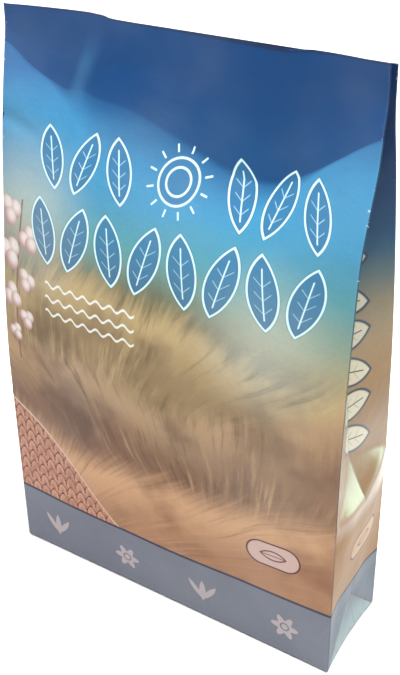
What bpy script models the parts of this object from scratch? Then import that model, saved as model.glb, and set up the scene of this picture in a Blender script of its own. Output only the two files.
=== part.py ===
"""A sealed block-bottom paper bag of cat litter, standing full on its base.

The bag is one folded web round its contents, so it is one closed solid. The front faces -Y,
the right gusset faces +X and the bag stands on z = 0.
"""
import math

import bmesh
import bpy

WIDTH = 0.240  # across the front, fold to fold
DEPTH = 0.069  # of the squared base, front fold to back fold
HEIGHT = 0.380  # to the nominal cut edge
HALF_WIDTH = WIDTH / 2
HALF_DEPTH = DEPTH / 2
FOLD = 0.0010  # how thick the doubled web is at each standing fold
BASE_ROUND = 0.0022  # radius of the fold round the base
BASE_LEVELS = (0.0, 0.0007, 0.0022)
CREASE_TOP = 0.037  # height where the two slanting foot creases of a gusset meet
RIDGE = 0.116  # height of the bend where a gusset begins to tuck inward
RIDGE_RISE = 0.016  # how much higher that bend is at the back fold
FOOT_DENT = 0.0026  # how far in the meeting point of the foot creases lies
FOOT_FLARE = 0.0010  # how far the foot swells out below that point
FLARE_AT = 0.80  # share of the foot's height where the swelling is full
DENT_SPREAD = 0.030  # height over which the foot's dent spreads across the gusset
DENT_FULL = 1.8  # higher makes that spread dent reach nearer to the folds
TUCK_TOP = 0.142  # height where the gusset is wholly tucked in along its middle crease
BELLY_POWER = 2.4  # how square the belly's outline is across a panel
CORNER_SHARE = 0.8  # part of the half width where the pleat behind a panel ends
PANEL_PARTS = 24  # columns across the front and the back
GUSSET_PARTS = 12  # columns across a gusset

LEVELS = (
    0.0065, 0.011, 0.017, 0.023, 0.030, 0.037, 0.045, 0.054, 0.066, 0.080, 0.095,
    0.107, 0.116, 0.124, 0.133, 0.142, 0.155, 0.170, 0.188, 0.206, 0.224, 0.242,
    0.260, 0.278, 0.294, 0.308, 0.320, 0.331, 0.342, 0.354, 0.367, 0.380,
)  # heights of the rows above the base's fold

# Height and distance behind the base's front fold, for the front panel.
FRONT_LEFT = (
    (0.000, 0.0000), (0.160, 0.0000), (0.195, 0.0018), (0.226, 0.0048), (0.266, 0.0098),
    (0.294, 0.0134), (0.313, 0.0160), (0.339, 0.0208), (0.356, 0.0268), (0.380, 0.0283),
)
FRONT_MIDDLE = (
    (0.000, 0.0004), (0.050, -0.0030), (0.100, -0.0064), (0.150, -0.0088), (0.190, -0.0092),
    (0.222, -0.0066), (0.252, -0.0010), (0.282, 0.0085), (0.307, 0.0190), (0.330, 0.0295),
    (0.346, 0.0317), (0.380, 0.0335),
)
FRONT_RIGHT = (
    (0.000, 0.0000), (0.160, 0.0000), (0.195, 0.0015), (0.241, 0.0050), (0.285, 0.0100),
    (0.303, 0.0155), (0.328, 0.0250), (0.342, 0.0282), (0.362, 0.0312), (0.380, 0.0302),
)
# Height and distance in front of the base's back fold, for the back panel.
BACK_SIDE = (
    (0.000, 0.0000), (0.135, 0.0004), (0.172, 0.0024), (0.208, 0.0044), (0.245, 0.0084),
    (0.280, 0.0132), (0.319, 0.0198), (0.348, 0.0266), (0.380, 0.0288),
)
BACK_MIDDLE = (
    (0.000, 0.0004), (0.050, -0.0030), (0.100, -0.0064), (0.150, -0.0088), (0.190, -0.0092),
    (0.222, -0.0068), (0.252, -0.0014), (0.282, 0.0070), (0.307, 0.0170), (0.330, 0.0280),
    (0.346, 0.0314), (0.380, 0.0335),
)
# Height and offset of a gusset's middle crease from the plane of its folds, outward positive.
MIDDLE_CREASE = (
    (0.037, -0.0026), (0.060, -0.0020), (0.090, 0.0006), (0.116, 0.0030), (0.142, -0.0096),
    (0.170, -0.0116), (0.208, -0.0150), (0.242, -0.0205), (0.280, -0.0262), (0.319, -0.0318),
    (0.380, -0.0345),
)
# Place across the bag and height above the nominal top, for the front and back cut edges.
TOP_EDGE = (
    (-0.120, 0.0000), (-0.100, 0.0006), (-0.052, 0.0010), (-0.046, -0.0006), (0.000, -0.0010),
    (0.040, -0.0016), (0.062, -0.0019), (0.080, 0.0003), (0.120, 0.0000),
)
BACK_TOP_EDGE = (
    (-0.120, -0.0046), (-0.090, -0.0034), (-0.040, -0.0022), (0.030, -0.0030), (0.090, -0.0036),
    (0.120, -0.0026),
)
TOP_RISE = (0.331, 0.380)  # heights between which the cut edge's waver fades in
PAPER_COLOR = (0.235, 0.255, 0.285, 1.0)
PAPER_ROUGHNESS = 0.42
MERGE = 0.00005


def clamp(value, low, high):
    """Keeps a value between two others."""
    return max(low, min(high, value))


def smooth_value(nodes, place):
    """The height of a smooth curve through the nodes, at one place along them."""
    if place <= nodes[0][0]:
        return nodes[0][1]
    if place >= nodes[-1][0]:
        return nodes[-1][1]
    k = max(i for i in range(len(nodes) - 1) if nodes[i][0] <= place)
    (x0, y0), (x1, y1) = nodes[k], nodes[k + 1]
    before = nodes[max(k - 1, 0)]
    after = nodes[min(k + 2, len(nodes) - 1)]
    run = x1 - x0
    slope0 = (y1 - before[1]) / (x1 - before[0]) * run
    slope1 = (after[1] - y0) / (after[0] - x0) * run
    t = (place - x0) / run
    return (
        y0 * (2 * t ** 3 - 3 * t ** 2 + 1)
        + slope0 * (t ** 3 - 2 * t ** 2 + t)
        + y1 * (3 * t ** 2 - 2 * t ** 3)
        + slope1 * (t ** 3 - t ** 2)
    )


def belly_share(across):
    """How much of the middle's profile a place takes; across runs from -1 to 1."""
    return 1 - abs(across) ** BELLY_POWER


def front_y(across, height):
    """Where the front panel lies, from its own two folds and its middle."""
    side = (across + 1) / 2
    edge = smooth_value(FRONT_LEFT, height) * (1 - side) + smooth_value(FRONT_RIGHT, height) * side
    share = belly_share(across)
    return -HALF_DEPTH + edge * (1 - share) + smooth_value(FRONT_MIDDLE, height) * share


def back_y(across, height):
    """Where the back panel lies."""
    share = belly_share(across)
    edge = smooth_value(BACK_SIDE, height)
    return HALF_DEPTH - edge * (1 - share) - smooth_value(BACK_MIDDLE, height) * share


def gusset_offset(part, height):
    """How far a gusset lies outside the plane of its folds; part runs front to back."""
    tent = 1 - abs(2 * part - 1)
    line = CREASE_TOP * tent
    if height < line:
        depth = (line - height) / CREASE_TOP
        reach = math.sin(math.pi / 2 * clamp(depth / FLARE_AT, 0, 1)) ** 2
        return -FOOT_DENT * math.sin(math.pi / 2 * tent) + FOOT_FLARE * reach
    lifted = height - RIDGE_RISE * max(0, 2 * part - 1) * clamp(height / RIDGE, 0, 1)
    middle = smooth_value(MIDDLE_CREASE, lifted)
    spread = clamp((height - line) / DENT_SPREAD, 0, 1)
    spread *= clamp((TUCK_TOP - lifted) / (TUCK_TOP - RIDGE), 0, 1)
    wide = math.sin(math.pi / 2 * min(1, tent * DENT_FULL))
    return middle * (tent * (1 - spread) + wide * spread)


def base_tuck(height):
    """How far the fold round the base draws the wall in at this height."""
    if height >= BASE_ROUND:
        return 0.0
    rise = BASE_ROUND - height
    return BASE_ROUND - math.sqrt(max(0.0, BASE_ROUND ** 2 - rise ** 2))


def top_waver(x, height, back):
    """How much the cut edge's waver raises a point; back runs 0 to 1, front to back."""
    low, high = TOP_RISE
    edge = smooth_value(TOP_EDGE, x) * (1 - back) + smooth_value(BACK_TOP_EDGE, x) * back
    return edge * clamp((height - low) / (high - low), 0, 1)


def panel_stations():
    """Places across a panel, closer together where the pleats lie behind it."""
    edge_parts = GUSSET_PARTS // 2
    middle_parts = PANEL_PARTS - 2 * edge_parts
    left = [-1 + (1 - CORNER_SHARE) * i / edge_parts for i in range(edge_parts)]
    middle = [CORNER_SHARE * (2 * i / middle_parts - 1) for i in range(middle_parts + 1)]
    right = [CORNER_SHARE + (1 - CORNER_SHARE) * (i + 1) / edge_parts for i in range(edge_parts)]
    return left + middle + right


def wall_stations():
    """Each column round the bag as the panel it's in and its place across that panel."""
    across = panel_stations()
    parts = [i / GUSSET_PARTS for i in range(GUSSET_PARTS + 1)]
    return (
        [("front", a) for a in across]
        + [("right", p) for p in parts]
        + [("back", -a) for a in across]
        + [("left", 1 - p) for p in parts]
    )


def wall_point(panel, place, height):
    """One point of the bag's wall."""
    tuck = base_tuck(height)
    if panel in ("front", "back"):
        x = place * (HALF_WIDTH - tuck)
        y = front_y(place, height) + tuck if panel == "front" else back_y(place, height) - tuck
        return x, y, height + top_waver(x, height, 1 if panel == "back" else 0)
    side = 1 if panel == "right" else -1
    y0 = front_y(side, height) + FOLD + tuck
    y1 = back_y(side, height) - FOLD - tuck
    x = side * (HALF_WIDTH - tuck + gusset_offset(place, height))
    waver = top_waver(side * HALF_WIDTH, height, place)
    return x, y0 + (y1 - y0) * place, height + waver


def clear_scene():
    """Removes whatever the scene holds."""
    for thing in list(bpy.data.objects):
        bpy.data.objects.remove(thing, do_unlink=True)


def paper_material():
    """The bag's printed, laminated paper, as its mean colour."""
    material = bpy.data.materials.new("printed_paper")
    material.use_nodes = True
    shader = material.node_tree.nodes["Principled BSDF"]
    shader.inputs["Base Color"].default_value = PAPER_COLOR
    shader.inputs["Roughness"].default_value = PAPER_ROUGHNESS
    shader.inputs["Metallic"].default_value = 0.0
    material.diffuse_color = PAPER_COLOR
    return material


def fold_bag():
    """Folds a flat sheet into the bag's wall, closes it and fills its base and its top."""
    stations = wall_stations()
    heights = BASE_LEVELS + LEVELS
    columns, rows = len(stations), len(heights) - 1
    sheet = bmesh.new()
    bmesh.ops.create_grid(sheet, x_segments=columns, y_segments=rows, size=1.0)
    for vert in sheet.verts:
        column = round((vert.co.x + 1) / 2 * columns) % columns
        row = round((vert.co.y + 1) / 2 * rows)
        vert.co = wall_point(*stations[column], heights[row])
    bmesh.ops.remove_doubles(sheet, verts=sheet.verts, dist=MERGE)
    rim = [edge for edge in sheet.edges if edge.is_boundary]
    for low in (True, False):
        loop = [edge for edge in rim if (edge.verts[0].co.z < HEIGHT / 2) == low]
        bmesh.ops.triangle_fill(sheet, edges=loop, use_beauty=True, normal=(0, 0, 1))
    bmesh.ops.recalc_face_normals(sheet, faces=sheet.faces)
    return sheet


def build():
    """Makes the bag's collection, object and material."""
    clear_scene()
    collection = bpy.data.collections.new("cat_litter_bag")
    bpy.context.scene.collection.children.link(collection)
    sheet = fold_bag()
    mesh = bpy.data.meshes.new("litter_bag")
    sheet.to_mesh(mesh)
    sheet.free()
    for face in mesh.polygons:
        face.use_smooth = True
    mesh.materials.append(paper_material())
    bag = bpy.data.objects.new("litter_bag", mesh)
    collection.objects.link(bag)


build()
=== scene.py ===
import math

import bmesh
import bpy
from mathutils import Matrix, Vector, noise


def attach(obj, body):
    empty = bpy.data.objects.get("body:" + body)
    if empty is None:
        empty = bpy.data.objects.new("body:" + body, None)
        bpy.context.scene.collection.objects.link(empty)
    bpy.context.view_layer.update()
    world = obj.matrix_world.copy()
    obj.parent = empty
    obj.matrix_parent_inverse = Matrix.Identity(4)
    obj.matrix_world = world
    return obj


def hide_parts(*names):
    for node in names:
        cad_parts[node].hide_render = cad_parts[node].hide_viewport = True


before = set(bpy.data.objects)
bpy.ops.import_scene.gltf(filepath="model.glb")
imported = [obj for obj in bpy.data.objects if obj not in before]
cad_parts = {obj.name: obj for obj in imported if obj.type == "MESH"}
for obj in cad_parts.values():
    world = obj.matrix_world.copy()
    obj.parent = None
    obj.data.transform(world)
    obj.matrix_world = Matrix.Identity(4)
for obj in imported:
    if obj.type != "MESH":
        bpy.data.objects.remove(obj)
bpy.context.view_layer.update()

scene = bpy.context.scene

# The bag's form, in metres. Heights start at the floor, depths at the base's front fold.
bag = {
    "width": 0.240,
    "depth": 0.069,
    "height": 0.380,
    "foldRadius": 0.0007,       # of the four standing folds
    "baseRadius": 0.0022,       # of the fold round the base
    "bellySquareness": 2.4,     # higher keeps the belly full nearer to the folds
    "footPoint": 0.0370,        # where a gusset's slanting foot creases meet
    "footDent": 0.0026,
    "footFlare": 0.0007,
    "footFull": 0.80,           # share of the foot's height where it has swollen fully
    # height of a gusset's bend at its front fold, middle and back fold
    "bendRight": (0.117, 0.1150, 0.133), "bendLeft": (0.128, 0.1210, 0.122),
    "ridgeFall": 0.0090,        # how far the gusset tucks in above its bend
    "ridgeRound": 0.0240,       # and over what height
    "ridgeSwell": 0.0030,
    "ridgeSoft": 0.0012,
    "evenCrease": 0.338,        # mean height of the shoulder crease
    "creaseSoft": 0.0020,       # half height of the shoulder's bend at the folds
    "creaseMiddle": 0.0200,     # and how much more it takes in the middle of a panel
}

# Share of the way to the shoulder crease (0 to 1), then to the cut edge (1 to 2), and the depth.
frontLeft = [(0.0, 0.0), (0.44, 0.0), (0.545, 0.0018), (0.63, 0.0046), (0.74, 0.0096),
             (0.82, 0.0132), (0.87, 0.0158), (0.94, 0.0208), (1.0, 0.0262), (1.4, 0.0278),
             (2.0, 0.0283)]
frontMiddle = [(0.0, 0.0004), (0.15, -0.0030), (0.30, -0.0062), (0.45, -0.0087), (0.58, -0.0092),
               (0.68, -0.0064), (0.77, -0.0004), (0.86, 0.0094), (0.93, 0.0192), (1.0, 0.0296),
               (1.3, 0.0318), (2.0, 0.0337)]
frontRight = [(0.0, 0.0), (0.46, 0.0), (0.567, 0.0015), (0.70, 0.0050), (0.83, 0.0100),
              (0.88, 0.0152), (0.955, 0.0250), (1.0, 0.0280), (1.5, 0.0314), (2.0, 0.0302)]
backSide = [(0.0, 0.0), (0.39, 0.0004), (0.50, 0.0024), (0.60, 0.0044), (0.71, 0.0084),
            (0.81, 0.0132), (0.93, 0.0204), (1.0, 0.0262), (1.4, 0.0280), (2.0, 0.0288)]
backMiddle = [(0.0, 0.0004), (0.15, -0.0030), (0.30, -0.0062), (0.45, -0.0087), (0.58, -0.0092),
              (0.68, -0.0066), (0.77, -0.0008), (0.86, 0.0084), (0.93, 0.0180), (1.0, 0.0288),
              (1.3, 0.0318), (2.0, 0.0337)]

# Place across a panel and the height of the shoulder crease there.
frontCrease = [(-0.120, 0.3589), (-0.115, 0.3565), (-0.102, 0.3464), (-0.081, 0.3364),
               (-0.0735, 0.3350), (-0.066, 0.3366), (-0.058, 0.3335), (-0.033, 0.3300),
               (0.000, 0.3190), (0.032, 0.3070), (0.060, 0.3050), (0.081, 0.3160),
               (0.097, 0.3272), (0.110, 0.3365), (0.120, 0.3425)]
backCrease = [(-0.120, 0.3450), (-0.070, 0.3350), (-0.010, 0.3250), (0.060, 0.3310),
              (0.120, 0.3450)]

# Place across and the height of the cut edge there, from the bag's height.
cutEdge = [(-0.120, 0.0000), (-0.100, 0.0006), (-0.052, 0.0011), (-0.046, -0.0006),
           (0.000, -0.0010), (0.040, -0.0016), (0.062, -0.0019), (0.080, 0.0002), (0.120, 0.0000)]
backCutEdge = [(-0.120, -0.0046), (-0.090, -0.0034), (-0.040, -0.0022), (0.030, -0.0030),
               (0.090, -0.0036), (0.120, -0.0026)]

# Height and offset of a gusset's middle crease above its bend, from the plane of its folds.
tuckDepth = [(0.100, -0.0078), (0.142, -0.0098), (0.170, -0.0118), (0.208, -0.0152),
             (0.242, -0.0206), (0.280, -0.0262), (0.319, -0.0318), (0.380, -0.0345)]

# The unevenness of a filled paper bag: sizes and heights of the marks, in metres.
crumple = {
    "broad": 0.0009, "middling": 0.00032,           # heights of the dents
    "ridge": 0.0011, "ridgeWidth": 0.0042,          # the upright ridge in the pressed top
    "ridgePlace": -0.0655, "ridgeLean": 0.0125,
    "pinch": 0.0013, "pinchWidth": 0.0045,          # the slanting dent below the left shoulder
    "pinchHeight": 0.3165, "pinchFall": 0.36, "pinchLength": 0.046,
}


def clamp(value, low=0.0, high=1.0):
    return max(low, min(high, value))


def ease(value):
    value = clamp(value)
    return value * value * (3 - 2 * value)


def curveAt(nodes, place):  # a smooth curve through the nodes
    if place <= nodes[0][0]:
        return nodes[0][1]
    if place >= nodes[-1][0]:
        return nodes[-1][1]
    k = max(i for i in range(len(nodes) - 1) if nodes[i][0] <= place)
    (x0, y0), (x1, y1) = nodes[k], nodes[k + 1]
    before, after = nodes[max(k - 1, 0)], nodes[min(k + 2, len(nodes) - 1)]
    run = x1 - x0
    t = (place - x0) / run
    slope0 = (y1 - before[1]) / (x1 - before[0]) * run
    slope1 = (after[1] - y0) / (after[0] - x0) * run
    return (y0 * (2 * t**3 - 3 * t**2 + 1) + slope0 * (t**3 - 2 * t**2 + t)
            + y1 * (3 * t**2 - 2 * t**3) + slope1 * (t**3 - t**2))


def profileAt(nodes, share):  # two smooth curves that meet at the shoulder crease
    lower = [n for n in nodes if n[0] <= 1.0]
    upper = [n for n in nodes if n[0] >= 1.0]
    return curveAt(lower if share <= 1.0 else upper, share)


def creaseHeight(panel, place):
    half = bag["width"] / 2
    if panel == "front":
        return curveAt(frontCrease, place * half)
    if panel == "back":
        return curveAt(backCrease, place * half)
    side = 1 if panel == "right" else -1
    front, back = curveAt(frontCrease, side * half), curveAt(backCrease, side * half)
    return front + (back - front) * place


def heightAt(panel, place, row):  # row runs 0 to 1 up to the shoulder crease, 1 to 2 above it
    crease, even = creaseHeight(panel, place), bag["evenCrease"]
    half = bag["width"] / 2
    x = place * half if panel in ("front", "back") else (half if panel == "right" else -half)
    lift = {"front": 0.0, "back": 1.0}.get(panel, place)
    top = bag["height"] + curveAt(cutEdge, x) * (1 - lift) + curveAt(backCutEdge, x) * lift
    if row > 1:
        return crease + (top - crease) * (row - 1)
    return even * row + (crease - even) * row**6


def roundedProfile(nodes, row, soft):  # the profile with its bend at the crease rounded
    below, above = soft / bag["evenCrease"], soft / (bag["height"] - bag["evenCrease"])
    if row < 1 - below or row > 1 + above:
        return profileAt(nodes, row)
    t = 0.5 + 0.5 * (row - 1) / (below if row < 1 else above)
    low, middle, high = (profileAt(nodes, r) for r in (1 - below, 1.0, 1 + above))
    return low * (1 - t) ** 2 + 2 * middle * t * (1 - t) + high * t * t


def panelDepth(panel, place, row):  # how far the panel lies from its own base fold
    share = 1 - abs(place) ** bag["bellySquareness"]
    crisp = bag["creaseSoft"]
    broad = crisp + bag["creaseMiddle"] * ease((0.72 - abs(place)) / 0.45)
    if panel == "front":
        side = (place + 1) / 2
        edge = (roundedProfile(frontLeft, row, crisp) * (1 - side)
                + roundedProfile(frontRight, row, crisp) * side)
        middle = roundedProfile(frontMiddle, row, broad)
    else:
        edge = roundedProfile(backSide, row, crisp)
        middle = roundedProfile(backMiddle, row, broad)
    return edge * (1 - share) + middle * share


def dents(x, z, seed):  # the slow unevenness of a filled paper panel
    broad = noise.noise(Vector((x * 17, z * 15, seed)))
    middling = noise.noise(Vector((x * 42 + 7, z * 34, seed + 3)))
    return crumple["broad"] * broad + crumple["middling"] * middling


def pressedRidge(x, z):  # a soft upright ridge where the pinched top was pressed flat
    along = clamp((z - bag["evenCrease"]) / (bag["height"] - bag["evenCrease"]))
    middle = crumple["ridgePlace"] + crumple["ridgeLean"] * along
    off = (x - middle) / crumple["ridgeWidth"]
    return -crumple["ridge"] * math.exp(-off**2) * ease(along * 4)


def sidePinch(x, z):  # a short slanting dent that runs in from the left fold below the shoulder
    run = x + bag["width"] / 2
    off = (z - crumple["pinchHeight"] + crumple["pinchFall"] * run) / crumple["pinchWidth"]
    return crumple["pinch"] * math.exp(-off**2) * ease(1 - run / crumple["pinchLength"])


def gussetOffset(part, height, side):  # how far a gusset lies outside the plane of its folds
    tent = 1 - abs(2 * part - 1)
    line = bag["footPoint"] * tent
    wide = math.sin(math.pi / 2 * min(1, tent * 1.8))
    if height < line:
        depth = (line - height) / bag["footPoint"]
        reach = math.sin(math.pi / 2 * clamp(depth / bag["footFull"])) ** 2
        return -bag["footDent"] * math.sin(math.pi / 2 * tent) + bag["footFlare"] * reach
    front, middle, back = bag["bendRight"] if side > 0 else bag["bendLeft"]
    if part < 0.5:
        ridge = front + (middle - front) * part * 2
    else:
        ridge = middle + (back - middle) * (part * 2 - 1)
    rise = clamp((height - bag["footPoint"]) / (ridge - bag["footPoint"]))
    spread = ease((height - line) / 0.030)
    dent = -bag["footDent"] * (tent * (1 - spread) + wide * spread)
    low = dent * (1 - ease(rise)) + bag["ridgeSwell"] * wide * ease(rise)
    if height <= ridge - 0.004:
        return low
    above = max(0.0, height - ridge)
    fall = bag["ridgeFall"] * (1 - math.exp(-above / bag["ridgeRound"])) + 0.25 * above
    slope = low if height < ridge else bag["ridgeSwell"] * wide - fall
    tuck = curveAt(tuckDepth, height) * tent
    soft = bag["ridgeSoft"]
    blend = clamp(0.5 + 0.5 * (slope - tuck) / soft)
    return tuck + (slope - tuck) * blend + soft * blend * (1 - blend)


def baseTuck(height):
    radius = bag["baseRadius"]
    if height >= radius:
        return 0.0
    return radius - math.sqrt(max(0.0, radius**2 - (radius - height) ** 2))


def wallPoint(panel, place, row):
    half, halfDepth = bag["width"] / 2, bag["depth"] / 2
    height = heightAt(panel, place, row)
    tuck = baseTuck(height)
    if panel in ("front", "back"):
        depth = panelDepth(panel, place, row)
        calm = (1 - abs(place) ** 6) * ease(height / 0.03)
        calm *= ease((bag["height"] + 0.006 - height) / 0.04)
        x = place * (half - bag["foldRadius"] - tuck)
        if panel == "front":
            depth += pressedRidge(x, height) + sidePinch(x, height) + dents(x, height, 1.7) * calm
            return Vector((x, -halfDepth + depth + tuck, height))
        return Vector((x, halfDepth - depth - tuck + dents(x, height, 8.2) * calm, height))
    side = 1 if panel == "right" else -1
    y0 = -halfDepth + panelDepth("front", side, row) + bag["foldRadius"] + tuck
    y1 = halfDepth - panelDepth("back", side, row) - bag["foldRadius"] - tuck
    offset = gussetOffset(place, height, side)
    calm = (1 - abs(2 * place - 1) ** 4) * ease(height / 0.03)
    y = y0 + (y1 - y0) * place
    ripple = dents(y * 1.6, height, 4.4 + side) * 0.5 * calm
    return Vector((side * (half - tuck + offset + ripple), y, height))


def spaced(parts, near, low, high):  # places across one panel: close to the folds, then even
    length = high - low
    inner = [low + n for n in near] + [high - n for n in reversed(near)]
    start, end = near[-1], length - near[-1]
    even = [low + start + (end - start) * i / parts for i in range(1, parts)]
    return sorted(inner + even)


def wallColumns():
    half = bag["width"] / 2
    near = [0.0, 0.0006, 0.0016, 0.0034]
    across = [x / half for x in spaced(98, near, -half, half)]
    gussetNear = [0.0, 0.010, 0.030]
    firstHalf = spaced(11, gussetNear, 0.0, 0.5)
    parts = firstHalf + [1 - p for p in reversed(firstHalf[:-1])]
    return ([("front", a) for a in across] + [("right", p) for p in parts]
            + [("back", -a) for a in across] + [("left", 1 - p) for p in parts])


def wallRows():
    base = [0.0, 0.0007, 0.0022, 0.0050, 0.0090]
    lower = [z / 0.34 for z in base]
    lower += [lower[-1] + (0.985 - lower[-1]) * i / 146 for i in range(1, 147)]
    shoulder = [0.9925, 1.0, 1.04]
    upper = [1.09 + (1.985 - 1.09) * i / 20 for i in range(21)] + [2.0]
    return lower + shoulder + upper


def sheetPlace(panel, place, point):  # place on the print: across from the panel's middle, and up
    if panel in ("front", "back"):
        return place * bag["width"] / 2, point.z
    return (place - 0.5) * bag["depth"], point.z


# Where each panel sits in the OFBake map: left, bottom, metres to share.
bakePlaces = {
    "front": (0.004, 0.004, 2.57), "back": (0.634, 0.004, 1.50), "right": (0.634, 0.590, 1.02),
    "left": (0.716, 0.590, 1.02), "base": (0.84, 0.700, 0.80), "top": (0.90, 0.700, 0.80),
}


def bakePlace(panel, across, up):
    left, bottom, scale = bakePlaces[panel]
    width = bag["width"] if panel in ("front", "back") else bag["depth"]
    return left + (across + width / 2) * scale, bottom + up * scale


def foldSheet():
    columns, rows = wallColumns(), wallRows()
    sheet = bmesh.new()
    bmesh.ops.create_grid(sheet, x_segments=len(columns), y_segments=len(rows) - 1, size=1.0)
    where = {}
    for vert in sheet.verts:
        column = round((vert.co.x + 1) / 2 * len(columns))
        row = round((vert.co.y + 1) / 2 * (len(rows) - 1))
        where[vert.index] = (column, row)
    spots = [[wallPoint(panel, place, row) for row in rows] for panel, place in columns]
    sheetMap = sheet.loops.layers.uv.new("sheet")
    foldMap = sheet.loops.layers.uv.new("fold")
    bakeMap = sheet.loops.layers.uv.new("OFBake")
    slots = {"front": 0, "back": 1, "right": 2, "left": 3}
    for face in sheet.faces:
        used = [where[loop.vert.index][0] for loop in face.loops]
        first = min(used)
        second = (first + 1) % len(columns)
        panel = columns[first][0] if columns[first][0] in ("front", "back") else columns[second][0]
        face.material_index = slots[panel]
        face.smooth = True
        for loop in face.loops:
            column, row = where[loop.vert.index]
            owner, place = columns[column % len(columns)]
            if owner != panel:  # the strip that rounds a fold belongs to the panel beside it
                place = 1.008 if owner == "right" else -1.008
            point = spots[column % len(columns)][row]
            across, up = sheetPlace(panel, place, point)
            loop[sheetMap].uv = (across, up)
            loop[foldMap].uv = (place, rows[row])
            loop[bakeMap].uv = bakePlace(panel, across, up)
    for vert in sheet.verts:
        column, row = where[vert.index]
        vert.co = spots[column % len(columns)][row]
    bmesh.ops.remove_doubles(sheet, verts=sheet.verts, dist=0.00004)
    return sheet


def closeEnds(sheet):  # the glued block bottom and the pinched, cut top
    sheetMap = sheet.loops.layers.uv["sheet"]
    bakeMap = sheet.loops.layers.uv["OFBake"]
    rim = [edge for edge in sheet.edges if edge.is_boundary]
    made = {}
    for end in ("base", "top"):
        low = end == "base"
        loop = [edge for edge in rim if (edge.verts[0].co.z < bag["height"] / 2) == low]
        filled = bmesh.ops.triangle_fill(sheet, edges=loop, use_beauty=True, normal=(0, 0, 1))
        made[end] = [g for g in filled["geom"] if isinstance(g, bmesh.types.BMFace)]
    bmesh.ops.recalc_face_normals(sheet, faces=sheet.faces)
    for end, slot in (("base", 4), ("top", 5)):
        left, bottom, scale = bakePlaces[end]
        for face in made[end]:
            face.material_index = slot
            for loop in face.loops:
                co = loop.vert.co
                loop[sheetMap].uv = (co.x, co.y)
                loop[bakeMap].uv = (left + co.y * scale, bottom + co.x * scale)


def addBag():
    sheet = foldSheet()
    closeEnds(sheet)
    mesh = bpy.data.meshes.new("foldedBag")
    sheet.to_mesh(mesh)
    print("bag sheet folded:", len(mesh.vertices), "points, volume in litres",
          round(sheet.calc_volume() * 1000, 2))
    sheet.free()
    piece = bpy.data.objects.new("foldedBag", mesh)
    scene.collection.objects.link(piece)
    return piece

# Shorthand for the shader trees. Each function adds a node or two and gives back the output.
def srgb(red, green, blue):
    def straight(value):
        value /= 255
        return value / 12.92 if value <= 0.04045 else ((value + 0.055) / 1.055) ** 2.4
    return (straight(red), straight(green), straight(blue), 1.0)


def put(tree, socket, value):
    if isinstance(value, bpy.types.NodeSocket):
        tree.links.new(value, socket)
    else:
        socket.default_value = value


def calc(tree, operation, *values):
    node = tree.nodes.new("ShaderNodeMath")
    node.operation = operation
    for k, value in enumerate(values):
        put(tree, node.inputs[k], value)
    return node.outputs[0]


def times(tree, first, *others):
    for other in others:
        first = calc(tree, "MULTIPLY", first, other)
    return first


def largest(tree, first, *others):
    for other in others:
        first = calc(tree, "MAXIMUM", first, other)
    return first


def plus(tree, a, b):
    return calc(tree, "ADD", a, b)


def less(tree, a, b):
    return calc(tree, "SUBTRACT", a, b)


def scaled(tree, value, factor, offset):
    return calc(tree, "MULTIPLY_ADD", value, factor, offset)


def sizeOf(tree, value):
    return calc(tree, "ABSOLUTE", value)


def wave(tree, value, factor):
    return calc(tree, "SINE", times(tree, value, factor))


def wrapped(tree, value, period):
    return calc(tree, "FLOORED_MODULO", value, period)


def farFrom(tree, x, y):  # length of the vector x, y
    return calc(tree, "SQRT", plus(tree, times(tree, x, x), times(tree, y, y)))


def span(tree, value, low, high):  # 0 below low, 1 above high
    node = tree.nodes.new("ShaderNodeMapRange")
    node.interpolation_type = "SMOOTHSTEP"
    for k, v in enumerate((value, low, high, 0.0, 1.0)):
        put(tree, node.inputs[k], v)
    return node.outputs[0]


def stroke(tree, distance, width, edge=0.00035):  # 1 on a line of that width round distance 0
    return less(tree, 1.0, span(tree, sizeOf(tree, distance), width - edge, width + edge))


def inside(tree, distance, edge=0.00035):  # 1 where the distance is below 0
    return less(tree, 1.0, span(tree, distance, -edge, edge))


def within(tree, value, low, high, edge=0.0004):
    return times(tree, span(tree, value, low - edge, low + edge),
                 less(tree, 1.0, span(tree, value, high - edge, high + edge)))


def blendColor(tree, share, under, over):
    node = tree.nodes.new("ShaderNodeMix")
    node.data_type = "RGBA"
    put(tree, node.inputs[0], share)
    put(tree, node.inputs[6], under)
    put(tree, node.inputs[7], over)
    return node.outputs[2]


def inked(tree, color, ink, *masks):  # the ink over a colour, where all the masks are 1
    return blendColor(tree, times(tree, *masks), color, ink)


def joined(tree, x, y, z=0.0):
    node = tree.nodes.new("ShaderNodeCombineXYZ")
    for k, value in enumerate((x, y, z)):
        put(tree, node.inputs[k], value)
    return node.outputs[0]


def cloudy(tree, vector, scale, detail, rough):
    node = tree.nodes.new("ShaderNodeTexNoise")
    put(tree, node.inputs["Vector"], vector)
    node.inputs["Scale"].default_value = scale
    node.inputs["Detail"].default_value = detail
    node.inputs["Roughness"].default_value = rough
    return node.outputs[0]


def ramp(tree, value, stops):
    node = tree.nodes.new("ShaderNodeValToRGB")
    marks = node.color_ramp.elements
    for place, color in stops[1:-1]:
        marks.new(place).color = srgb(*color)
    for mark, (place, color) in ((marks[0], stops[0]), (marks[len(marks) - 1], stops[-1])):
        mark.position, mark.color = place, srgb(*color)
    put(tree, node.inputs[0], value)
    return node.outputs[0]


def newGroup(name, inputs, outputs):
    group = bpy.data.node_groups.new(name, "ShaderNodeTree")
    for label, kind, value in inputs:
        socket = group.interface.new_socket(name=label, in_out="INPUT",
                                            socket_type="NodeSocket" + kind)
        socket.default_value = value
    for label, kind in outputs:
        group.interface.new_socket(name=label, in_out="OUTPUT", socket_type="NodeSocket" + kind)
    return group, group.nodes.new("NodeGroupInput"), group.nodes.new("NodeGroupOutput")


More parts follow.
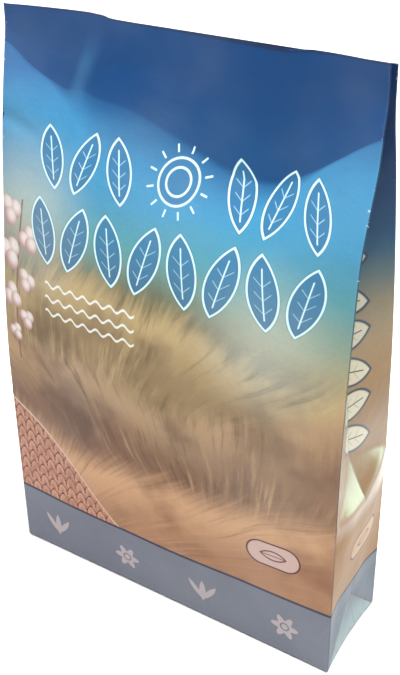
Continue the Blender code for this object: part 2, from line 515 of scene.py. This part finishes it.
def useGroup(tree, group, **values):
    node = tree.nodes.new("ShaderNodeGroup")
    node.node_tree = group
    for name, value in values.items():
        put(tree, node.inputs[name], value)
    return node


def leafGroup():  # how far a place lies outside a leaf's outline, which is two arcs
    group, source, target = newGroup(
        "leafShape",
        [("X", "Float", 0.0), ("Y", "Float", 0.0), ("HalfHeight", "Float", 0.02),
         ("HalfWidth", "Float", 0.008)],
        [("Distance", "Float")])
    x, y, high, wide = (source.outputs[k] for k in ("X", "Y", "HalfHeight", "HalfWidth"))
    squares = plus(group, times(group, high, high), times(group, wide, wide))
    radius = calc(group, "DIVIDE", squares, times(group, wide, 2.0))
    out = plus(group, sizeOf(group, x), less(group, radius, wide))
    group.links.new(less(group, farFrom(group, out, y), radius), target.inputs[0])
    return group


# The print: sky above, hills of dry grass below, a plain band at the foot.
meadow = {
    "skyStops": [(0.000, (140, 110, 84)), (0.560, (150, 140, 104)), (0.620, (116, 140, 124)),
                 (0.680, (82, 142, 150)), (0.750, (62, 134, 170)), (0.850, (60, 130, 172)),
                 (0.905, (48, 104, 156)), (1.000, (44, 90, 140))],
    "skyDrift": 0.060,          # how far clouds shift the sky's tones, as a share of the height
    # pale spots: place across and up, reach, share and colour
    "haze": [(-0.098, 0.262, 0.062, 0.62, (188, 192, 178)),
             (0.074, 0.226, 0.056, 0.55, (188, 192, 178)),
             (0.080, 0.128, 0.070, 0.22, (214, 188, 160))],
    "bandColor": (112, 116, 126), "bandShade": (100, 104, 116),
    "bandTop": 0.0490,
    "lineColor": (34, 42, 66), "lineWidth": 0.0019,
    "grassRoots": [(0.060, -0.060, 0.16, 0.0), (-0.120, -0.020, 0.20, 5.0)],
    "bladeFan": 42, "bladeLength": 19,
    "bladeLift": 0.050,         # how far blades stand up through a crest
    "crestGlow": 0.045,         # how far the pale tone reaches below a crest
    # crest at the left and right edge, its sway, softness, colours and share of grass
    "hills": [
        {"left": 0.266, "right": 0.212, "sway": 0.006, "length": 0.190, "start": 0.5,
         "soft": 0.016, "color": (86, 84, 64), "pale": (108, 104, 80), "dark": (70, 64, 48),
         "grass": 0.35},
        {"left": 0.226, "right": 0.216, "sway": 0.010, "length": 0.270, "start": 2.2,
         "soft": 0.013, "color": (142, 118, 82), "pale": (182, 160, 116), "dark": (92, 70, 48),
         "grass": 0.78},
        {"left": 0.160, "right": 0.184, "sway": 0.012, "length": 0.240, "start": 4.1,
         "soft": 0.011, "color": (118, 86, 64), "pale": (170, 140, 106), "dark": (68, 44, 32),
         "grass": 0.78},
        {"left": 0.116, "right": 0.098, "sway": 0.010, "length": 0.310, "start": 5.6,
         "soft": 0.015, "color": (158, 116, 84), "pale": (196, 154, 116), "dark": (112, 72, 50),
         "grass": 0.60},
    ],
}


def grassBlades(tree, across, up, rootX, rootY, bend, layer):  # streaks that fan out from a root
    angle = calc(tree, "ARCTAN2", less(tree, across, rootX), less(tree, up, rootY))
    curl = cloudy(tree, joined(tree, across, up, layer), 11, 1, 0.5)
    fan = times(tree, scaled(tree, curl, bend, angle), meadow["bladeFan"])
    along = times(tree, up, meadow["bladeLength"])
    return cloudy(tree, joined(tree, fan, along, layer), 1.0, 6, 0.62)


def hillCrest(tree, hill, across, blade):
    slant = (hill["right"] - hill["left"]) / bag["width"]
    crest = scaled(tree, across, slant, (hill["right"] + hill["left"]) / 2)
    turn = scaled(tree, across, 2 * math.pi / hill["length"], hill["start"])
    crest = scaled(tree, calc(tree, "SINE", turn), hill["sway"], crest)
    crest = scaled(tree, wave(tree, turn, 2.6), hill["sway"] * 0.25, crest)
    return scaled(tree, less(tree, blade, 0.5), meadow["bladeLift"] * hill["grass"], crest)


def meadowGroup():
    group, source, target = newGroup(
        "meadowPrint", [("Across", "Float", 0.0), ("Up", "Float", 0.0)], [("Color", "Color")])
    across, up = source.outputs["Across"], source.outputs["Up"]
    cloud = cloudy(group, joined(group, times(group, across, 0.55), up), 22, 3, 0.5)
    drift = scaled(group, cloud, meadow["skyDrift"], -meadow["skyDrift"] / 2)
    level = plus(group, calc(group, "DIVIDE", up, bag["height"]), drift)
    color = ramp(group, level, meadow["skyStops"])
    blades = [grassBlades(group, across, up, *root) for root in meadow["grassRoots"]]
    tone = cloudy(group, joined(group, across, up), 19, 3, 0.55)
    patch = span(group, cloudy(group, joined(group, across, up, 3.0), 13, 2, 0.5), 0.34, 0.62)
    for k, hill in enumerate(meadow["hills"]):
        blade = blades[k % 2]
        pale, dark = srgb(*hill["pale"]), srgb(*hill["dark"])
        drop = less(group, hillCrest(group, hill, across, blade), up)
        grass = times(group, patch, hill["grass"])
        body = inked(group, pale, srgb(*hill["color"]), span(group, drop, 0.0, meadow["crestGlow"]))
        body = inked(group, body, dark, span(group, tone, 0.44, 0.66), 0.55)
        body = inked(group, body, pale, span(group, blade, 0.50, 0.70), grass)
        body = inked(group, body, dark, span(group, blade, 0.50, 0.32), grass)
        color = inked(group, color, body, span(group, drop, -hill["soft"], hill["soft"]))
    bandTop, lineWidth = meadow["bandTop"], meadow["lineWidth"]
    band = blendColor(group, tone, srgb(*meadow["bandColor"]), srgb(*meadow["bandShade"]))
    color = inked(group, color, band, within(group, up, -1.0, bandTop - lineWidth))
    line = within(group, up, bandTop - lineWidth, bandTop, 0.0003)
    color = inked(group, color, srgb(*meadow["lineColor"]), line)
    group.links.new(color, target.inputs[0])
    return group


# The laminated paper: fine grain, slight crumple, wear along the folds, and painted shade on the
# strips that turn round them.
paper = {
    "grain": 2600, "fibre": 620, "fleck": 300, "crumple": 46, "fade": 12,    # scales
    "fadeColor": (214, 220, 226), "fibreColor": (30, 30, 44),
    "foldColor": (224, 226, 226), "foldShadeColor": (16, 30, 60), "rubbedColor": (240, 240, 236),
    "specular": 0.12, "ior": 1.5,
    "bumpStrength": 0.5, "bumpDepth": 0.0022,
}


def paperGroup():
    group, source, target = newGroup(
        "paperSkin",
        [("Print", "Color", (0.5, 0.5, 0.5, 1.0)), ("FoldGap", "Float", 1.0), ("Up", "Float", 0.0)],
        [("Color", "Color"), ("Roughness", "Float"), ("Relief", "Float")])
    place = group.nodes.new("ShaderNodeTexCoord").outputs["Object"]
    color, gap, up = (source.outputs[k] for k in ("Print", "FoldGap", "Up"))
    grain = cloudy(group, place, paper["grain"], 2, 0.6)
    fibre = cloudy(group, place, paper["fibre"], 3, 0.6)
    crumple = cloudy(group, place, paper["crumple"], 3, 0.5)
    faded = cloudy(group, place, paper["fade"], 3, 0.5)
    flecks = cloudy(group, place, paper["fleck"], 3, 0.7)
    # rubbed folds show the white of the paper in short ticks, more of them higher up
    high = span(group, up, 0.13, 0.33)
    limit = scaled(group, high, -0.08, 0.72)
    rubbed = times(group, span(group, flecks, limit, plus(group, limit, 0.05)),
                   span(group, gap, 0.0016, 0.0003))
    # the strip that turns round a fold is duller than the panels, and darkened with painted shade,
    # more of it higher up
    foldShade = times(group, span(group, gap, 0.0001, -0.0004), scaled(group, high, 0.6, 0.4))
    color = inked(group, color, srgb(*paper["fadeColor"]), span(group, faded, 0.35, 0.75), 0.05)
    color = inked(group, color, srgb(*paper["fibreColor"]), span(group, fibre, 0.35, 0.70), 0.05)
    color = inked(group, color, srgb(*paper["foldColor"]), span(group, gap, 0.0009, 0.0), 0.03)
    color = inked(group, color, srgb(*paper["foldShadeColor"]), foldShade, 0.75)
    color = inked(group, color, srgb(*paper["rubbedColor"]), rubbed, 0.7)
    rough = scaled(group, faded, 0.16, 0.30)
    rough = scaled(group, rubbed, 0.22, rough)
    rough = scaled(group, fibre, 0.05, rough)
    rough = scaled(group, foldShade, 0.5, rough)
    relief = scaled(group, fibre, 0.035, crumple)
    relief = scaled(group, grain, 0.008, relief)
    group.links.new(color, target.inputs["Color"])
    group.links.new(rough, target.inputs["Roughness"])
    group.links.new(relief, target.inputs["Relief"])
    return group


def sheetCoords(tree, name="sheet"):
    node = tree.nodes.new("ShaderNodeUVMap")
    node.uv_map = name
    parts = tree.nodes.new("ShaderNodeSeparateXYZ")
    tree.links.new(node.outputs[0], parts.inputs[0])
    return parts.outputs[0], parts.outputs[1]


def newMaterial(name):
    material = bpy.data.materials.new(name)
    material.use_nodes = True
    shader = material.node_tree.nodes["Principled BSDF"]
    shader.inputs["IOR"].default_value = paper["ior"]
    return material, material.node_tree, shader


def finishPaper(tree, shader, color, gap, up):
    skin = useGroup(tree, paperSkin, Print=color, FoldGap=gap, Up=up)
    tree.links.new(skin.outputs["Color"], shader.inputs["Base Color"])
    tree.links.new(skin.outputs["Roughness"], shader.inputs["Roughness"])
    bump = tree.nodes.new("ShaderNodeBump")
    bump.inputs["Strength"].default_value = paper["bumpStrength"]
    bump.inputs["Distance"].default_value = paper["bumpDepth"]
    tree.links.new(skin.outputs["Relief"], bump.inputs["Height"])
    tree.links.new(bump.outputs[0], shader.inputs["Normal"])
    shader.inputs["Specular IOR Level"].default_value = paper["specular"]


leafShape, meadowPrint, paperSkin = leafGroup(), meadowGroup(), paperGroup()

# What is drawn over the meadow. Places are across from the panel's middle, and up, in metres.
motifs = {
    "outline": (200, 232, 236), "leafFill": (50, 106, 146), "leafRim": (24, 62, 92),
    "outlineWidth": 0.0006, "veinWidth": 0.0004, "sideVeinWidth": 0.00022,
    # rows of leaves: middle, level, count, pitch, half height, half width, lean
    "frontRows": [(-0.056, 0.298, 3, 0.024, 0.0170, 0.0080, 0.26),
                  (0.068, 0.298, 3, 0.024, 0.0170, 0.0080, 0.26),
                  (0.006, 0.2540, 8, 0.0252, 0.0195, 0.0094, 0.22)],
    "backRow": (0.0, 0.2760, 8, 0.0252, 0.0195, 0.0094, 0.22),
    "sideRow": (0.232, 0.002, 8, 0.0225, 0.0160, 0.0090, 0.18),
    "sun": (0.006, 0.2990), "sunRadius": 0.0120, "sunHeart": 0.0072, "sunRays": 12,
    "ripple": (226, 230, 222), "rippleGap": 0.0092, "rippleRows": 3,
    "rippleBottom": 0.1980, "rippleLeft": -0.080, "rippleRight": -0.010,
    "bollPale": (222, 212, 206), "bollDark": (170, 128, 126), "stem": (110, 76, 62),
    # bolls: place, radius and turn
    "bolls": [(-0.1125, 0.2585, 0.0074, 0.4), (-0.0960, 0.2440, 0.0066, 1.3),
              (-0.1135, 0.2310, 0.0080, 0.9), (-0.0975, 0.2165, 0.0060, 0.2),
              (-0.1120, 0.2020, 0.0066, 1.6), (-0.0985, 0.1900, 0.0052, 0.7),
              (-0.1100, 0.1770, 0.0046, 1.1)],
    "scalePale": (184, 134, 110), "scaleDark": (146, 96, 76), "scaleGap": (76, 44, 36),
    "scaleRim": (196, 176, 158), "scaleWidth": 0.0082, "scaleHeight": 0.0044,
    "scaleTop": 0.122, "scaleFall": -0.78,
    "badge": (0.082, 0.0800), "badgeFill": (190, 162, 152), "badgeLine": (88, 48, 56),
    "mark": (168, 156, 158), "markLevel": 0.0235,
    "sprouts": (-0.090, 0.030), "blooms": (-0.030, 0.090),
    "creaseLine": (44, 40, 44),
}


def tint(name):
    return srgb(*motifs[name])


def addLeaves(tree, color, across, up, row, line, fill):
    middle, level, count, pitch, high, wide, lean = row
    x = plus(tree, across, -middle + count * pitch / 2)
    y = less(tree, up, level)
    number = calc(tree, "FLOOR", calc(tree, "DIVIDE", x, pitch))
    turnAbout = scaled(tree, wrapped(tree, number, 2.0), 2.0, -1.0)
    local = less(tree, wrapped(tree, x, pitch), pitch / 2)
    local = less(tree, local, times(tree, y, turnAbout, lean))
    leaf = useGroup(tree, leafShape, X=local, Y=y, HalfHeight=high, HalfWidth=wide).outputs[0]
    extent = within(tree, x, 0.0, count * pitch)
    color = inked(tree, color, fill, inside(tree, leaf), extent, 0.8)
    # the middle vein and pairs of side veins
    side = sizeOf(tree, local)
    vein = times(tree, stroke(tree, local, motifs["veinWidth"]),
                 within(tree, y, -high * 0.72, high * 0.66))
    comb = less(tree, wrapped(tree, scaled(tree, side, -0.8, y), high * 0.36), high * 0.18)
    sideVeins = times(tree, stroke(tree, comb, motifs["sideVeinWidth"]),
                      within(tree, side, -1.0, wide * 0.55),
                      within(tree, y, -high * 0.55, high * 0.50), 0.6)
    drawn = largest(tree, stroke(tree, leaf, motifs["outlineWidth"]), vein, sideVeins)
    color = inked(tree, color, tint("leafRim"), stroke(tree, leaf, 0.0011), extent, 0.35)
    return inked(tree, color, line, drawn, extent)


# The top above the shoulder crease: a deep blue that is partly print and partly painted shade, a
# painted highlight on the pressed ridge, and painted shade along the cut edge.
headerShade = {
    "color": (18, 63, 114), "share": 0.9,
    "crisp": 0.006, "soft": 0.140,  # the tone's edge at the folds, and how much softer in between
    "ridgeHighlightColor": (84, 146, 190), "ridgeHighlightShare": 0.22, "ridgePlace": -0.585, "ridgeLean": 0.150,
    "cutShadeShare": 0.7,
}


def addHeaderShade(tree, color):  # the deep blue above the shoulder crease: partly print, partly painted shade of the upright pressed top
    place, row = sheetCoords(tree, "fold")
    middle = span(tree, sizeOf(tree, place), 0.78, 0.25)
    soft = scaled(tree, middle, headerShade["soft"], headerShade["crisp"])
    tone = span(tree, row, less(tree, 1.0, soft), scaled(tree, soft, 0.35, 1.004))
    color = inked(tree, color, srgb(*headerShade["color"]), tone, headerShade["share"])
    # a painted highlight on the pressed upright ridge at the left, and a dark line painted along
    # the cut edge as its shade
    lean = scaled(tree, less(tree, row, 1.0), headerShade["ridgeLean"], headerShade["ridgePlace"])
    ridge = times(tree, stroke(tree, less(tree, place, lean), 0.036, 0.030), tone,
                  span(tree, row, 1.92, 1.30))
    color = inked(tree, color, srgb(*headerShade["ridgeHighlightColor"]), ridge, headerShade["ridgeHighlightShare"])
    # painted shade: a dark line just below the cut edge
    cut = span(tree, row, 1.965, 1.985)
    return inked(tree, color, srgb(*meadow["lineColor"]), cut, headerShade["cutShadeShare"])


def addSun(tree, color, across, up):
    x, y = motifs["sun"]
    width, count = motifs["outlineWidth"], motifs["sunRays"]
    dx, dy = less(tree, across, x), less(tree, up, y)
    far = farFrom(tree, dx, dy)
    rim, heart = less(tree, far, motifs["sunRadius"]), less(tree, far, motifs["sunHeart"])
    turn = times(tree, calc(tree, "ARCTAN2", dy, dx), count / (2 * math.pi))
    spoke = times(tree, less(tree, wrapped(tree, turn, 1.0), 0.5), far)
    rays = times(tree, stroke(tree, spoke, 0.0010), within(tree, far, 0.0150, 0.0192))
    color = inked(tree, color, tint("leafFill"), inside(tree, rim), 0.8)
    drawn = largest(tree, rays, stroke(tree, rim, width), stroke(tree, heart, width))
    return inked(tree, color, tint("outline"), drawn)


def addRipples(tree, color, across, up):
    bottom, gap, rows = motifs["rippleBottom"], motifs["rippleGap"], motifs["rippleRows"]
    row = less(tree, wrapped(tree, less(tree, up, bottom), gap), gap / 2)
    sway = times(tree, wave(tree, across, 620), 0.0015)
    return inked(tree, color, tint("ripple"), stroke(tree, less(tree, row, sway), 0.0008),
                 within(tree, up, bottom, bottom + gap * rows),
                 within(tree, across, motifs["rippleLeft"], motifs["rippleRight"]), 0.9)


def addBolls(tree, color, across, up):  # a stem of pale three-lobed bolls
    bend = scaled(tree, wave(tree, up, 26.0), 0.004, -0.1040)
    color = inked(tree, color, tint("stem"), stroke(tree, less(tree, across, bend), 0.0007),
                  within(tree, up, 0.158, 0.268), 0.8)
    for x, y, radius, turn in motifs["bolls"]:
        for lobe in range(3):
            angle = turn + lobe * 2 * math.pi / 3
            dx = less(tree, across, x + radius * 0.62 * math.cos(angle))
            dy = less(tree, up, y + radius * 0.62 * math.sin(angle))
            lit = farFrom(tree, less(tree, dx, radius * 0.20), less(tree, dy, radius * 0.24))
            boll = blendColor(tree, span(tree, lit, radius * 0.15, radius * 1.05),
                              tint("bollPale"), tint("bollDark"))
            edge = less(tree, farFrom(tree, dx, dy), radius * 0.80)
            color = inked(tree, color, boll, inside(tree, edge, 0.0007), 0.92)
    return color


def scaleRow(tree, across, up, shift):  # a set of rows of scales: its colours, and what it covers
    wide, high = motifs["scaleWidth"], motifs["scaleHeight"]
    level = plus(tree, up, shift * high)
    row = calc(tree, "FLOOR", calc(tree, "DIVIDE", level, high * 2))
    dy = less(tree, level, times(tree, row, high * 2))
    dx = less(tree, wrapped(tree, plus(tree, across, 1 + shift * wide / 2), wide), wide / 2)
    arc = farFrom(tree, dx, times(tree, dy, wide / 2 / (high * 1.9)))
    arc = calc(tree, "DIVIDE", arc, wide / 2)
    dark, pale, gap = (motifs[k] for k in ("scaleDark", "scalePale", "scaleGap"))
    stops = [(0.0, dark), (0.62, pale), (0.84, pale), (0.93, gap), (1.0, gap)]
    return ramp(tree, arc, stops), calc(tree, "LESS_THAN", arc, 1.0)


def addScales(tree, color, across, up):  # overlapping scales in the lower left corner
    under = scaleRow(tree, across, up, 0.0)[0]
    over, covers = scaleRow(tree, across, up, 1.0)  # half a scale over, and in front
    shade = blendColor(tree, covers, under, over)
    tone = cloudy(tree, joined(tree, across, up, 7.0), 90, 3, 0.6)
    shade = inked(tree, shade, tint("scaleDark"), span(tree, tone, 0.45, 0.65), 0.5)
    # the corner's edge falls in a slow wave from the left fold to the band
    run = plus(tree, across, bag["width"] / 2)
    edge = scaled(tree, run, motifs["scaleFall"], motifs["scaleTop"])
    edge = less(tree, plus(tree, edge, times(tree, wave(tree, run, 52.0), 0.0070)), up)
    above = within(tree, up, meadow["bandTop"], 1.0)
    color = inked(tree, color, shade, inside(tree, times(tree, edge, -1.0)), above)
    return inked(tree, color, tint("scaleRim"), stroke(tree, edge, 0.0007), above)


def addBadge(tree, color, across, up, place, fill):  # a pill with a grain in it
    x, y = less(tree, across, place[0]), less(tree, up, place[1])
    ends = largest(tree, less(tree, sizeOf(tree, x), 0.0085), 0.0)
    pill = less(tree, farFrom(tree, ends, y), 0.0092)
    grain = useGroup(tree, leafShape, X=y, Y=x, HalfHeight=0.0085, HalfWidth=0.0034).outputs[0]
    color = inked(tree, color, fill, inside(tree, pill))
    split = times(tree, stroke(tree, y, 0.0003), inside(tree, grain))
    drawn = largest(tree, stroke(tree, pill, 0.0006), stroke(tree, grain, 0.0005), split)
    return inked(tree, color, tint("badgeLine"), drawn)


def addMarks(tree, color, across, up):  # sprouts and blooms, turn about, in the band
    y = less(tree, up, motifs["markLevel"])
    root = plus(tree, y, 0.0080)
    for place in motifs["sprouts"]:
        x = less(tree, across, place)
        for lean, high in ((0.0, 0.0092), (0.66, 0.0072), (-0.66, 0.0072)):
            tilted = less(tree, x, times(tree, root, lean))
            blade = useGroup(tree, leafShape, X=tilted, Y=y, HalfHeight=high, HalfWidth=0.0024)
            color = inked(tree, color, tint("mark"), inside(tree, blade.outputs[0]))
    for place in motifs["blooms"]:
        x = less(tree, across, place)
        far = farFrom(tree, x, y)
        petals = calc(tree, "COSINE", times(tree, calc(tree, "ARCTAN2", y, x), 6.0))
        outline = less(tree, far, scaled(tree, petals, 0.0022, 0.0074))
        ring = stroke(tree, less(tree, far, 0.0028), 0.0006)
        color = inked(tree, color, tint("mark"), inside(tree, outline), less(tree, 1.0, ring))
    return color


def frontPrint():
    material, tree, shader = newMaterial("frontPrint")
    across, up = sheetCoords(tree)
    color = useGroup(tree, meadowPrint, Across=across, Up=up).outputs[0]
    for x, y, reach, share, hazeColor in meadow["haze"]:
        far = farFrom(tree, less(tree, across, x), less(tree, up, y))
        color = inked(tree, color, srgb(*hazeColor), span(tree, far, reach, 0.0), share)
    color = addHeaderShade(tree, color)
    color = addBolls(tree, color, across, up)
    color = addSun(tree, color, across, up)
    for row in motifs["frontRows"]:
        color = addLeaves(tree, color, across, up, row, tint("outline"), tint("leafFill"))
    color = addRipples(tree, color, across, up)
    color = addScales(tree, color, across, up)
    color = addBadge(tree, color, across, up, motifs["badge"], tint("badgeFill"))
    color = addMarks(tree, color, across, up)
    gap = less(tree, bag["width"] / 2, sizeOf(tree, across))
    finishPaper(tree, shader, color, gap, up)
    return material


def backPrint():
    material, tree, shader = newMaterial("backPrint")
    across, up = sheetCoords(tree)
    mirrored = times(tree, across, -1.0)
    color = useGroup(tree, meadowPrint, Across=mirrored, Up=up).outputs[0]
    color = addHeaderShade(tree, color)
    color = addLeaves(tree, color, across, up, motifs["backRow"], tint("outline"), tint("leafFill"))
    # the lap where the sheet's two edges are glued, beside one fold
    lap = stroke(tree, less(tree, mirrored, 0.104), 0.0003)
    color = inked(tree, color, tint("creaseLine"), lap, 0.55)
    gap = less(tree, bag["width"] / 2, sizeOf(tree, across))
    finishPaper(tree, shader, color, gap, up)
    return material


gusset = {
    # the gusset's colour up its height: print, with the dark navy at the top also standing in as
    # painted shade of the tucked-in upper gusset
    "stops": [(0.000, (150, 112, 76)), (0.330, (138, 100, 64)), (0.560, (146, 118, 88)),
              (0.630, (130, 114, 92)), (0.675, (88, 94, 94)), (0.720, (40, 66, 92)),
              (0.800, (14, 36, 78)), (1.000, (12, 34, 78))],
    "leafLine": (52, 62, 80), "leafFill": (206, 198, 176),
    "badge": (0.006, 0.0800), "badgeFill": (176, 140, 108),
    # painted highlight on the foot's lower triangles, and painted shade on the foot above them
    "footHighlight": (170, 188, 188), "footShade": (60, 70, 88),
    "footCrease": 0.0103,       # how far behind the middle the foot's bowed crease meets the base
    "coatRoughness": 0.30,      # of the rubbed, glossy slope above the bend
}


def addFoot(tree, color, across, up):  # painted highlight on the foot's lower triangles, painted shade on the foot above them, and dark lines along the foot's creases
    top, line = bag["footPoint"], tint("creaseLine")
    side = calc(tree, "DIVIDE", sizeOf(tree, across), bag["depth"] / 2)
    slant = less(tree, up, times(tree, less(tree, 1.0, side), top))
    foot = inside(tree, less(tree, up, top))
    # painted highlight, brighter towards the base, below the slanting creases; then painted shade
    # above them
    color = inked(tree, color, srgb(*gusset["footHighlight"]), inside(tree, slant, 0.0006),
                  span(tree, up, top, 0.0), 0.55)
    color = inked(tree, color, srgb(*gusset["footShade"]), foot,
                  inside(tree, times(tree, slant, -1.0), 0.0006), 0.25)
    behind = scaled(tree, span(tree, across, -0.001, 0.001), 0.5, 0.15)
    slantLine = times(tree, stroke(tree, slant, 0.0003), foot, behind)
    rise = calc(tree, "POWER", less(tree, 1.0, calc(tree, "DIVIDE", up, top)), 1.5)
    bowed = less(tree, across, times(tree, rise, gusset["footCrease"]))
    middleLine = times(tree, stroke(tree, bowed, 0.0002), foot, 0.45)
    pleatLine = times(tree, stroke(tree, across, 0.0003), span(tree, up, 0.112, 0.120), 0.7)
    return inked(tree, color, line, largest(tree, slantLine, middleLine, pleatLine))


def gussetPrint(name, shift):
    material, tree, shader = newMaterial(name)
    across, up = sheetCoords(tree)
    field = useGroup(tree, meadowPrint, Across=plus(tree, across, shift), Up=up).outputs[0]
    plain = ramp(tree, calc(tree, "DIVIDE", up, bag["height"]), gusset["stops"])
    bandTop = meadow["bandTop"]
    color = inked(tree, field, plain, span(tree, up, bandTop - 0.0004, bandTop + 0.0004), 0.86)
    color = addLeaves(tree, color, up, across, motifs["sideRow"], srgb(*gusset["leafLine"]),
                      srgb(*gusset["leafFill"]))
    color = addBadge(tree, color, across, up, gusset["badge"], srgb(*gusset["badgeFill"]))
    color = addFoot(tree, color, across, up)
    gap = less(tree, bag["depth"] / 2, sizeOf(tree, across))
    finishPaper(tree, shader, color, gap, up)
    rubbed = calc(tree, "MINIMUM", span(tree, up, 0.190, 0.140), span(tree, up, 0.100, 0.116))
    tree.links.new(rubbed, shader.inputs["Coat Weight"])
    shader.inputs["Coat Roughness"].default_value = gusset["coatRoughness"]
    return material


def plainPaper(name, color):
    material, tree, shader = newMaterial(name)
    across, up = sheetCoords(tree)
    cloud = cloudy(tree, joined(tree, across, up), 60, 3, 0.5)
    body = blendColor(tree, cloud, srgb(*color), srgb(*[v * 0.9 for v in color]))
    finishPaper(tree, shader, body, 1.0, 0.0)
    return material


piece = addBag()
for material in (frontPrint(), backPrint(), gussetPrint("rightPrint", 0.155),
                 gussetPrint("leftPrint", -0.155), plainPaper("basePaper", (108, 114, 130)),
                 # the flat fill over the pinched top is painted dark navy as shade of the cut edges
                 # and the gap between the layers
                 plainPaper("cutPaperShade", (30, 42, 66))):
    piece.data.materials.append(material)
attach(piece, "root")
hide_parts("litter_bag")
print("bag printed")

# Floor, light and camera.
studio = {
    "floorSize": 6.0, "floorColor": (0.94, 0.94, 0.94), "floorRoughness": 0.9,
    "farFloor": 0.62,           # brightness that the floor gains far from the lamps
    "worldColor": (1.0, 1.0, 1.0), "worldPower": 0.30, "backdrop": 0.90,
    "eye": (0.3011, -0.4587, 0.5288), "turn": 32.51, "dip": 27.97, "roll": -0.811,
    "lens": 55.99, "shift": -0.1059,
}

# Name, place, aim, power, width and height, colour.
lamps = [
    ("overhead", (0.25, -0.20, 1.9), (0, 0, 0.2), 62, (0.9, 0.9), (1.0, 1.0, 1.0)),
    ("backWindow", (0.63, 0.54, 0.065), (0.12, 0.0, 0.12), 2.3, (0.40, 0.11), (0.63, 1.0, 0.80)),
    ("floorWash", (-0.3, 1.6, 1.5), (-0.3, 1.3, 0), 30, (1.4, 0.8), (1.0, 1.0, 1.0)),
    ("frontFill", (-0.9, -1.6, 0.7), (0, 0, 0.2), 3, (1.2, 1.2), (0.97, 0.98, 1.0)),
]


def addFloor():
    sheet = bmesh.new()
    bmesh.ops.create_grid(sheet, x_segments=2, y_segments=2, size=studio["floorSize"])
    mesh = bpy.data.meshes.new("floor")
    sheet.to_mesh(mesh)
    sheet.free()
    floor = bpy.data.objects.new("floor", mesh)
    scene.collection.objects.link(floor)
    material, tree, shader = newMaterial("floorPaint")
    shader.inputs["Base Color"].default_value = (*studio["floorColor"], 1.0)
    shader.inputs["Roughness"].default_value = studio["floorRoughness"]
    # far from the lamps the floor is as bright as the backdrop
    place = tree.nodes.new("ShaderNodeSeparateXYZ")
    tree.links.new(tree.nodes.new("ShaderNodeTexCoord").outputs["Object"], place.inputs[0])
    seen = tree.nodes.new("ShaderNodeLightPath").outputs["Is Camera Ray"]
    far = farFrom(tree, place.outputs[0], place.outputs[1])
    glow = times(tree, seen, span(tree, far, 0.8, 2.6))
    put(tree, shader.inputs["Emission Color"], joined(tree, glow, glow, glow))
    shader.inputs["Emission Strength"].default_value = studio["farFloor"]
    mesh.materials.append(material)


def addLamp(name, place, aim, power, size, color):
    lamp = bpy.data.lights.new(name, "AREA")
    lamp.shape = "RECTANGLE"
    lamp.size, lamp.size_y = size
    lamp.energy = power
    lamp.color = color
    holder = bpy.data.objects.new(name, lamp)
    holder.location = place
    holder.rotation_euler = (Vector(aim) - Vector(place)).to_track_quat("-Z", "Y").to_euler()
    holder.visible_camera = False
    scene.collection.objects.link(holder)


def addWorld():
    world = bpy.data.worlds.new("studioLight")
    world.use_nodes = True
    tree = world.node_tree
    sky = tree.nodes["Background"]
    sky.inputs[0].default_value = (*studio["worldColor"], 1.0)
    seen = tree.nodes.new("ShaderNodeLightPath").outputs["Is Camera Ray"]
    gain = studio["backdrop"] - studio["worldPower"]
    tree.links.new(scaled(tree, seen, gain, studio["worldPower"]), sky.inputs[1])
    scene.world = world


def addCamera():
    camera = bpy.data.cameras.new("camera")
    camera.lens = studio["lens"]
    camera.sensor_fit = "AUTO"
    camera.sensor_width = 36
    camera.shift_y = studio["shift"]
    camera.clip_start, camera.clip_end = 0.01, 50
    holder = bpy.data.objects.new("camera", camera)
    turn = Matrix.Rotation(math.radians(studio["turn"]), 4, "Z")
    dip = Matrix.Rotation(math.radians(90 - studio["dip"]), 4, "X")
    roll = Matrix.Rotation(math.radians(studio["roll"]), 4, "Z")
    holder.matrix_world = Matrix.Translation(studio["eye"]) @ turn @ dip @ roll
    scene.collection.objects.link(holder)
    scene.camera = holder


addFloor()
for lamp in lamps:
    addLamp(*lamp)
addWorld()
addCamera()
scene.view_settings.view_transform = "Standard"
scene.view_settings.look = "None"
print("floor, lamps and camera placed")
